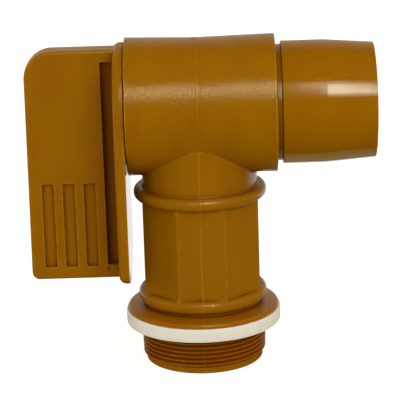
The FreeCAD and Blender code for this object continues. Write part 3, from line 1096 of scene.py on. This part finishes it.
    def vestiges(self) -> list[Piece]:
        """Make the gate stub on the barrel's top and the nub at the octagon's foot, both on the seam.

        Returns:
            The two solids.
        """
        crown = AT.axis + self.barrel_mid_r
        foot, top = crown - 1.0, crown + self.stub_proud
        corners = [(0, foot, 0), (self.stub_r, foot, 0), (self.stub_r, top, 0.3), (0, top, 0)]
        stub = turned("stub", corners, Turn.NECK, angles=even_turn(24))
        stub.data.transform(Matrix.Translation((self.stub_x * MM, 0, 0)))
        outline = [(-0.5, -28.0), (0.7, -28.0), (0.7, -26.0), (-0.5, -26.0)]
        steps = ((0.0, -1.0), (0.0, 1.9), (0.15, 2.5))
        nub = slab("nub", outline, [(shrink, AT.lower_ring_top + rise) for shrink, rise in steps], lying)
        return [stub, nub]

    def bores(self) -> list[Piece]:
        """Make the solids that hollow the moulding: neck, port, seal seat, barrel, lip and stop notch.

        Returns:
            The solids.
        """
        past = 2.0
        left, right = AT.barrel_left - past, AT.barrel_right + past
        neck = stepped(AT.foot - past, (self.neck_bore_r, self.roof))
        port = stepped(self.roof - past, (self.port_r, self.seal_foot), (self.seal_r, AT.axis))
        across = stepped(left, (self.bore_r, self.lip_left), (self.lip_bore_r, right))
        return [turned("neck_bore", neck, Turn.NECK), turned("port", port, Turn.NECK),
                turned("barrel_bore", across, Turn.BARREL),
                arc_slab("notch", self.stop_radii, self.stop_start, self.stop_sweep, 24,
                         (left, AT.barrel_left + self.stop_depth))]

    def build(self, material: Material) -> None:
        """Build the moulding and dress it.

        Args:
            material: Its finish.
        """
        whole = combine(self.foot(), [self.octagon(), self.neck(), self.barrel(), self.junction(),
                                      *self.vestiges(), self.thread()], Join.ADD)
        combine(whole, self.bores(), Join.CUT)
        dress(soften(whole), material)
        settle(whole, "body", "moulded_body", "valve_body")


@dataclass
class Gasket:
    """The flat ring between flange and drum, slightly uneven as a soft ring under load is."""

    inner_r: float = 30.6
    outer_r: float = 37.5
    thick: float = 6.4
    crown: float = 1.6

    def uneven(self, radius: float, along: float, angle: float) -> float:
        """Growth of the radius, which waves round the ring."""
        waves = 0.1 * math.sin(2 * angle + 0.7) + 0.05 * math.sin(5 * angle) - 0.18
        return (radius - self.inner_r) / (self.outer_r - self.inner_r) * waves

    def build(self, material: Material) -> None:
        """Build the ring and dress it.

        Args:
            material: Its finish.
        """
        corners = [
            (self.inner_r, 0.0, 0.3), (self.outer_r - 0.15, 0.0, 0.35), (self.outer_r, self.crown, 0.8),
            (self.outer_r, self.thick - self.crown, 0.8), (self.outer_r - 0.2, self.thick, 0.35),
            (self.inner_r, self.thick, 0.3)]
        ring = turned("gasket_ring", corners, Turn.NECK, ring=True, swell=self.uneven)
        dress(soften(ring), material)
        settle(ring, "body", "pale_rubber", "bung_gasket")


@dataclass
class Spout:
    """Outlet nozzle, straight and then tapered, with its socket over the plug's neck."""

    outer_r: float = 29.1
    tip_r: float = 27.3
    bore_r: float = 23.7
    socket_r: float = 24.45
    shoulder: float = 58.4

    def build(self, material: Material) -> None:
        """Build the nozzle and dress it.

        Args:
            material: Its finish.
        """
        corners = [
            (self.socket_r, AT.spout_left, 0.2), (self.outer_r, AT.spout_left, 0.5),
            (self.outer_r, AT.spout_taper, 0), (self.tip_r, AT.spout_right, 0.3),
            (self.bore_r, AT.spout_right, 0.45), (self.bore_r, self.shoulder, 0),
            (self.socket_r, self.shoulder, 0)]
        nozzle = turned("nozzle", corners, Turn.BARREL, ring=True)
        dress(soften(nozzle, 3.0), material)
        settle(nozzle, "rotor", "moulded_spout", "spout")


@dataclass
class Handle:
    """Lever moulding: round-topped plate, blade with pocket and grip slots, hub, keys and stop lug."""

    plate_r: float = 30.7
    plate_drop: float = 83.8
    plate_corner: float = 4.0
    plate_round: float = 3.4
    inner_round: float = 0.35
    blade_half: float = 6.0
    blade_top: float = 28.9
    blade_foot: float = -83.2
    top_round: float = 13.5
    foot_round: float = 3.8
    reach_top: float = 42.2
    reach_foot: float = 43.0
    edge_round: float = 1.5
    web_half: float = 1.2
    pocket_width: float = 6.05
    pocket_top: float = 23.0
    pocket_foot: float = -76.4
    grip_width: float = 5.5
    grip_pitch: float = 10.0
    grip_start: float = 10.6
    grip_top: float = -35.7
    grip_foot: float = -77.0
    grip_depth: float = 1.8
    mouth_round: float = 0.35
    floor_round: float = 0.25
    hub_r: float = 20.5
    hub_wall: float = 4.0
    hub_end: float = -22.3
    bead_back: float = 1.6
    bead_proud: float = 0.6
    key_half: float = 3.0
    key_foot: float = 18.0
    key_proud: float = 2.3
    lug_radii: Pair = (30.0, 28.0)
    lug_start: float = 40.0
    lug_sweep: float = 10.0
    lug_long: float = 1.75
    seam_proud: float = 0.1

    def plate(self) -> Piece:
        """Make the plate with its outer rim rounded.

        Returns:
            The solid.
        """
        arc = [polar(self.plate_r, math.pi * k / 64) for k in range(65)]
        swing = math.atan2(self.plate_r, math.sqrt(self.plate_drop ** 2 - self.plate_r ** 2))
        foot = [(self.plate_drop * math.sin(s), -self.plate_drop * math.cos(s))
                for s in (swing * (k / 12 * 2 - 1) for k in range(13))]
        flat = foot[-1][0] - self.plate_corner
        bow = [(a, b, 0.0) for a, b in foot[1:-1] if abs(a) < flat]
        lower = rounded([(*arc[-1], 0.0), (*foot[0], self.plate_corner), *bow,
                         (*foot[-1], self.plate_corner), (*arc[0], 0.0)])
        levels = round_over(self.plate_round, AT.plate_out, 1.0, 7)
        levels += round_over(self.inner_round, AT.plate_in, -1.0, 3)[::-1]
        return slab("lever", arc[1:-1] + lower, levels, end_on)

    def blade(self) -> Piece:
        """Make the blade with rounded edges and a fine seam round its rim.

        Returns:
            The solid.
        """
        root = AT.plate_out + 3.0
        outline = rounded([
            (root, self.blade_foot, 0), (root, self.blade_top, 0),
            (AT.plate_out - self.reach_top, self.blade_top, self.top_round),
            (AT.plate_out - self.reach_foot, self.blade_foot, self.foot_round)], closed=True, step=6.0)
        side = [(shrink + self.seam_proud, depth)
                for shrink, depth in round_over(self.edge_round, -self.blade_half, 1.0)]
        seam = [(self.seam_proud, -0.35), (0.01, -0.13), (0.01, 0.13), (self.seam_proud, 0.35)]
        levels = side + seam + [(shrink, -depth) for shrink, depth in reversed(side)]
        return slab("blade", outline, levels, lambda a, b, d: (a, d, AT.axis + b))

    def recess(self, across: Pair, tall: Pair, floor: float, side: int, open_right: bool) -> Piece:
        """Make the solid that cuts a pocket or a grip slot, with a softened mouth.

        Args:
            across: Lowest and highest x.
            tall: Lowest and highest height from the barrel's axis.
            floor: Distance of the recess's floor from the blade's middle plane.
            side: -1 for the front face and 1 for the back.
            open_right: Whether the right side runs straight along the plate.

        Returns:
            The cutting solid.
        """
        (left, right), (low, high) = across, tall
        bend = 0.0 if open_right else 0.6
        corners = [(left, high, 0.5), (left, low, 0.5), (right, low, bend), (right, high, bend)]
        outline = rounded(corners, closed=True, step=22.0)
        face, soft = self.blade_half, self.mouth_round
        turns = [math.pi / 2 * k / 4 for k in range(5)]
        flare = [(-soft * (1 - math.cos(t)), face - soft + soft * math.sin(t)) for t in turns]
        levels = [(self.floor_round, floor), (0.0, floor + self.floor_round), *flare, (-soft, face + 1.0)]

        def still(a: float, b: float) -> bool:
            """Whether a point lies on the open side, which stays straight."""
            return open_right and a > right - 0.01

        return slab("recess", outline, levels, lambda a, b, d: (a, side * d, AT.axis + b), still)

    def hub(self) -> list[Piece]:
        """Make the hub with its snap bead, its keys and the stop lug.

        Returns:
            The solids.
        """
        start, outer = AT.plate_in - 1.0, self.hub_r
        inner, bead_r = outer - self.hub_wall, outer + self.bead_proud
        bead = self.hub_end - self.bead_back
        corners = [
            (inner, start, 0), (outer, start, 0), (outer, bead - 0.8, 0), (bead_r, bead - 0.3, 0),
            (bead_r, bead + 0.3, 0), (outer, bead + 0.8, 0), (outer, self.hub_end, 0.4),
            (inner, self.hub_end, 0.4)]
        parts = [turned("hub", corners, Turn.BARREL, ring=True)]
        half, top = self.key_half, outer + self.key_proud
        for quarter in range(4):
            rib = slab("rib", [(-half, self.key_foot), (half, self.key_foot), (half, top), (-half, top)],
                       [(0.0, start), (0.0, self.hub_end - 2.3), (0.3, self.hub_end - 2.0)],
                       lambda a, b, d: (d, a, b))
            rib.data.transform(Matrix.Translation((0, 0, AT.axis * MM))
                               @ Matrix.Rotation(math.pi / 2 * quarter, 4, "X"))
            parts.append(rib)
        parts.append(arc_slab("lug", self.lug_radii, self.lug_start, self.lug_sweep, 6,
                              (start, AT.plate_in + self.lug_long)))
        return parts

    def build(self, material: Material, smooth: Material) -> None:
        """Build the lever and dress it.

        Args:
            material: Finish of the moulding.
            smooth: Finish of the face that looks at the barrel.
        """
        blade = self.blade()
        tools = []
        for side in (-1, 1):
            tools.append(self.recess((AT.plate_out - self.pocket_width, AT.plate_out),
                                     (self.pocket_foot, self.pocket_top), self.web_half, side, True))
            for i in range(3):
                right = AT.plate_out - self.grip_start - i * self.grip_pitch
                slot = (right - self.grip_width, right)
                tools.append(self.recess(slot, (self.grip_foot, self.grip_top),
                                         self.blade_half - self.grip_depth, side, False))
        combine(blade, tools, Join.CUT)
        lever = combine(self.plate(), [blade, *self.hub()], Join.ADD)
        dress(soften(lever), material)
        polish(lever, smooth, AT.plate_in)
        settle(lever, "rotor", "moulded_handle", "handle")


@dataclass
class Washer:
    """Ring in the gap between the barrel and the spout."""

    inner_r: float = 24.45
    outer_r: float = 27.6
    thick: float = 2.45

    def build(self, material: Material) -> None:
        """Build the ring and dress it.

        Args:
            material: Its finish.
        """
        left, right = AT.washer_left, AT.washer_left + self.thick
        corners = [(self.inner_r, left, 0.2), (self.outer_r, left, 0.3), (self.outer_r, right, 0.3),
                   (self.inner_r, right, 0.2)]
        ring = turned("gap_ring", corners, Turn.BARREL, ring=True)
        dress(soften(ring), material)
        settle(ring, "rotor", "moulded_washer", "thrust_washer")


@dataclass(frozen=True)
class Lamp:
    """One soft box, with its place, aim, width and height in millimetres and its power in watts."""

    name: str
    at: Corner
    power: float
    aim: Corner = (0, 0, 80)
    size: Pair = (1200, 700)
    glow: Glow = Glow.WASH
    tint: Corner = (1.0, 0.97, 0.87)

    def hang(self) -> None:
        """Put the lamp in the scene."""
        data = bpy.data.lights.new(self.name, "AREA")
        data.shape = "RECTANGLE"
        data.size, data.size_y = (side * MM for side in self.size)
        data.energy, data.color = self.power, self.tint
        made = bpy.data.objects.new(self.name, data)
        made.visible_glossy, made.visible_diffuse = self.glow is Glow.SHEEN, self.glow is Glow.WASH
        made.visible_camera = False
        bpy.context.scene.collection.objects.link(made)
        made.location = Vector(self.at) * MM
        made.rotation_euler = (Vector(self.aim) - Vector(self.at)).to_track_quat("-Z", "Y").to_euler()


@dataclass
class Studio:
    """Camera at the photograph's angle, plain soft lights, and a plain pale floor."""

    azimuth: float = 0.31
    elevation: float = 16.04
    roll: float = -1.82
    distance: float = 992.79
    focal: float = 2068.0
    target: Corner = (-0.075, 0.0, 59.39)
    width: float = 400.0
    ambient: float = 0.45
    surround: Corner = (1.0, 0.96, 0.82)
    backdrop: float = 0.5
    backdrop_from: float = 0.4
    backdrop_full: float = 0.97
    floor_half: float = 3000.0
    floor_drop: float = 0.02
    floor_colour: Corner = (0.45, 0.415, 0.35)
    floor_seen: float = 0.8
    floor_far_from: float = 100.0
    floor_far_full: float = 140.0
    warm: Corner = (1.0, 1.0, 0.55)
    cool: Corner = (0.8, 0.93, 1.0)

    def camera(self) -> None:
        """Place the camera."""
        az, el, roll = (math.radians(v) for v in (self.azimuth, self.elevation, self.roll))
        ahead = Vector((-math.sin(az) * math.cos(el), math.cos(az) * math.cos(el), -math.sin(el)))
        right = Vector((math.cos(az), math.sin(az), 0.0))
        up = right.cross(ahead)
        across = right * math.cos(roll) + up * math.sin(roll)
        over = up * math.cos(roll) - right * math.sin(roll)
        data = bpy.data.cameras.new("photograph_view")
        data.sensor_width = 36.0
        data.lens = self.focal / self.width * data.sensor_width
        data.clip_start, data.clip_end = 0.05, 20.0
        made = bpy.data.objects.new("photograph_view", data)
        bpy.context.scene.collection.objects.link(made)
        turn = Matrix((across, over, -ahead)).transposed().to_4x4()
        spot = (Vector(self.target) - ahead * self.distance) * MM
        made.matrix_world = Matrix.Translation(spot) @ turn
        bpy.context.scene.camera = made

    def lights(self) -> None:
        """Hang the strip boxes for the highlights, wide boxes for the even light, and a card below."""
        barrel, seam, spout, below = (0, -20, 110), (-54, -20, 110), (70, -20, 110), (70, 45, 100)
        for lamp in (
                Lamp("strip_left", (-2, -512, 468), 0.3, barrel, (95, 200), Glow.SHEEN, self.warm),
                Lamp("strip_seam", (-54, -513, 464), 0.27, seam, (50, 150), Glow.SHEEN, self.cool),
                Lamp("strip_right", (160, -516, 459), 0.95, spout, (138, 320), Glow.SHEEN, self.cool),
                Lamp("strip_core", (157, -516, 457), 0.48, spout, (138, 190), Glow.SHEEN, self.cool),
                Lamp("strip_hot", (184, -515, 456), 0.44, spout, (66, 200), Glow.SHEEN, self.cool),
                Lamp("card", (70, 45, -15), 0.009, below, (60, 90), Glow.SHEEN, self.warm),
                Lamp("front_right", (770, -1420, 939), 15.0),
                Lamp("front_left", (-760, -1600, 350), 10.0, aim=(0, 0, 70)),
                Lamp("side_right", (1650, 0, 450), 7.5),
                Lamp("side_left", (-1650, 0, 450), 9.0),
                Lamp("back", (0, 1750, 500), 15.0, size=(1400, 800)),
                Lamp("top", (0, -250, 1300), 1.9, aim=(0, 0, 100), size=(900, 700))):
            lamp.hang()

    def world(self) -> None:
        """White backdrop behind the object, also in reflections, and a softer light from all round."""
        world = bpy.data.worlds.new("surroundings")
        sheet = open_sheet(world)
        path = sheet.node("ShaderNodeLightPath").outputs
        toward = sheet.apart(sheet.node("ShaderNodeTexCoord").outputs["Generated"])
        behind = sheet.span(toward["Y"], self.backdrop_from, self.backdrop_full, 0.0, self.backdrop, True)
        mirrored = sheet.larger(path["Is Glossy Ray"], path["Is Transmission Ray"])
        strength = sheet.plus(sheet.times(mirrored, sheet.less(behind, self.ambient)), self.ambient)
        strength = sheet.larger(strength, path["Is Camera Ray"])
        colour = sheet.mix(path["Is Camera Ray"], (*self.surround, 1.0), (1.0, 1.0, 1.0, 1.0))
        light = sheet.node("ShaderNodeBackground", {"Color": colour, "Strength": strength})
        sheet.node("ShaderNodeOutputWorld", {"Surface": light.outputs[0]})
        bpy.context.scene.world = world

    def floor(self) -> None:
        """Plain pale floor that keeps the object's shadow."""
        half, height = self.floor_half, AT.foot - self.floor_drop
        square = ((-half, -half), (half, -half), (half, half), (-half, half))
        plane = mesh_object("floor", [(x, y, height) for x, y in square], [[0, 1, 2, 3]])
        material = bpy.data.materials.new("pale_floor")
        sheet = open_sheet(material)
        path = sheet.node("ShaderNodeLightPath").outputs
        where = sheet.apart(sheet.place())
        far = sheet.span(where["Y"], self.floor_far_from * MM, self.floor_far_full * MM, smooth=True)
        seen = sheet.larger(sheet.times(path["Is Glossy Ray"], far),
                            sheet.times(path["Is Camera Ray"], self.floor_seen))
        pale = sheet.mix(path["Is Glossy Ray"], (*self.floor_colour, 1.0), (0.0, 0.0, 0.0, 1.0))
        plain = sheet.node("ShaderNodeBsdfDiffuse", {"Color": pale})
        glow = sheet.node("ShaderNodeEmission", {"Color": (1.0, 1.0, 1.0, 1.0), "Strength": seen})
        both = sheet.node("ShaderNodeAddShader", {0: plain.outputs[0], 1: glow.outputs[0]})
        sheet.node("ShaderNodeOutputMaterial", {"Surface": both.outputs[0]})
        plane.data.materials.append(material)

    def build(self) -> None:
        """Set up camera, lights, world and floor."""
        self.camera()
        self.lights()
        self.world()
        self.floor()
        bpy.context.scene.view_settings.view_transform = "Standard"


def main() -> None:
    """Build the scene piece by piece."""
    logging.basicConfig(level=logging.INFO, format="%(name)s %(message)s")
    Studio().build()
    effects = Effects()
    BodyMoulding().build(BODY_PLASTIC.build(effects))
    Gasket().build(GASKET_RUBBER.build(effects))
    Handle().build(LEVER_PLASTIC.build(effects), LEVER_INNER_FACE.build(effects))
    Spout().build(NOZZLE_PLASTIC.build(effects))
    Washer().build(WASHER_PLASTIC.build(effects))
    dress(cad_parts["plug"], PLUG_PLASTIC.build(effects))
    seals = SEAL_RUBBER.build(effects)
    for node in ("port_seal", "handle_end_o_ring", "outlet_end_o_ring", "spout_o_ring"):
        dress(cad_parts[node], seals)
        LOG.info("%s dressed", node)


if __name__ == "__main__":
    main()
